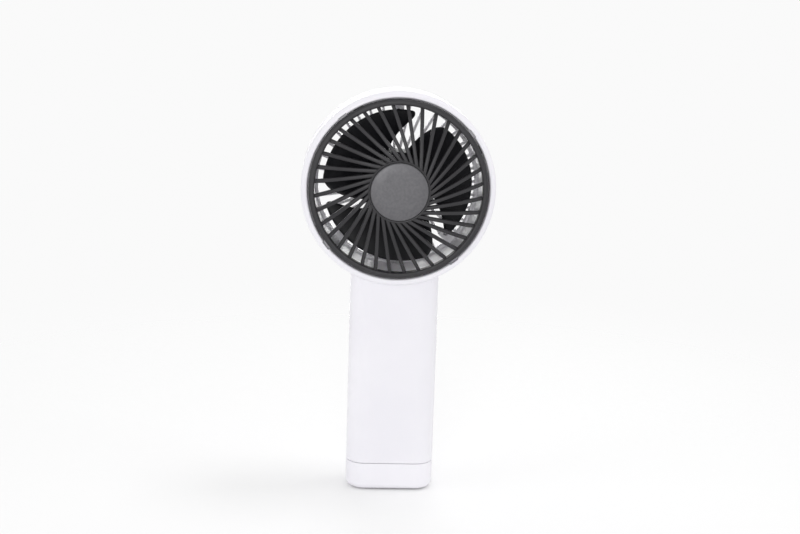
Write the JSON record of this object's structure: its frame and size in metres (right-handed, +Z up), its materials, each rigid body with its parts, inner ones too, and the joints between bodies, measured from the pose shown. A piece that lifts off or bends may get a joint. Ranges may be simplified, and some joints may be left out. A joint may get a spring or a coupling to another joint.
{
  "type": "handheld electric fan",
  "caption": "Rechargeable handheld fan with a ducted round head behind a twist-off swirl grille, on a flat handle that stands on its foot.",
  "frame": {"origin": "centre of the underside of the foot pad, on the surface the fan stands on", "axes": "+Z up along the handle, -Y the way the air leaves through the front grille, +X to the right when looking at the front"},
  "size_m": [0.09, 0.041, 0.192],
  "materials": {
    "white_housing": "fine satin white ABS with a cool tint",
    "dark_grille": "charcoal grey ABS, fine satin",
    "grille_badge": "smooth grey disc with a soft sheen",
    "black_fan": "black moulded plastic with a soft gloss",
    "foot_rubber": "pale grey anti-slip rubber",
    "button_white": "satin white keycap",
    "light_guide": "milky clear light pipe",
    "steel": "zinc plated steel",
    "bearing_steel": "ground bearing steel",
    "copper_winding": "enamelled copper wire",
    "magnet": "sintered ferrite ring",
    "brass": "turned brass",
    "circuit_board": "green solder mask over glass fibre laminate",
    "chip_black": "black moulded component body",
    "cell_wrap": "blue shrink wrap",
    "nickel_strip": "spot-welded nickel strip",
    "foam": "dark closed-cell foam",
    "wire_red": "red insulation",
    "wire_black": "black insulation",
    "wire_white": "white insulation"
  },
  "bodies": {
    "housing": {"front_shell": "white_housing", "rear_shell": "white_housing", "base_cap": "white_housing", "rear_grille": "white_housing", "foot_pad": "foot_rubber", "stator_core": "steel", "usb_port": "steel", "rear_grille_screw_1": "steel", "rear_grille_screw_2": "steel", "rear_grille_screw_3": "steel", "case_screw_left": "steel", "case_screw_right": "steel", "board_screw_left": "steel", "board_screw_right": "steel", "base_screw_left": "steel", "base_screw_right": "steel", "bearing_front": "bearing_steel", "bearing_rear": "bearing_steel", "bearing_tube": "brass", "stator_coil_1": "copper_winding", "stator_coil_2": "copper_winding", "stator_coil_3": "copper_winding", "stator_coil_4": "copper_winding", "stator_coil_5": "copper_winding", "stator_coil_6": "copper_winding", "motor_board": "circuit_board", "main_board": "circuit_board", "charge_board": "circuit_board", "controller_chip": "chip_black", "motor_driver_chip": "chip_black", "power_inductor": "chip_black", "switch_body": "chip_black", "charge_chip": "chip_black", "battery_cell_left": "cell_wrap", "battery_cell_right": "cell_wrap", "cell_strip_top": "nickel_strip", "cell_strip_bottom": "nickel_strip", "battery_foam": "foam", "level_light_1": "light_guide", "level_light_2": "light_guide", "level_light_3": "light_guide", "level_light_4": "light_guide", "motor_wire_1": "wire_white", "motor_wire_2": "wire_red", "charge_wire_red": "wire_red", "battery_wire_red": "wire_red", "motor_wire_3": "wire_black", "charge_wire_black": "wire_black", "battery_wire_black": "wire_black"},
    "rotor": {"impeller": "black_fan", "rotor_cup": "steel", "rotor_magnet": "magnet", "motor_shaft": "bearing_steel", "shaft_clip": "steel"},
    "grille": {"front_grille": "dark_grille", "hub_badge": "grille_badge"},
    "button": {"power_button": "button_white", "switch_plunger": "nickel_strip"}
  },
  "joints": [
    {"name": "rotor_spin", "type": "hinge", "parent": "housing", "child": "rotor", "pos_m": [0, 0, 0.147], "axis": [0, 1, 0], "continuous": true},
    {"name": "grille_twist", "type": "hinge", "parent": "housing", "child": "grille", "pos_m": [0, -0.017, 0.147], "axis": [0, -1, 0], "range_deg": [0, 12]},
    {"name": "button_press", "type": "slide", "parent": "housing", "child": "button", "axis": [0, -1, 0], "range_m": [0, 0.0006], "stiffness_N_per_m": 900, "springref_m": -0.0015}
  ]
}
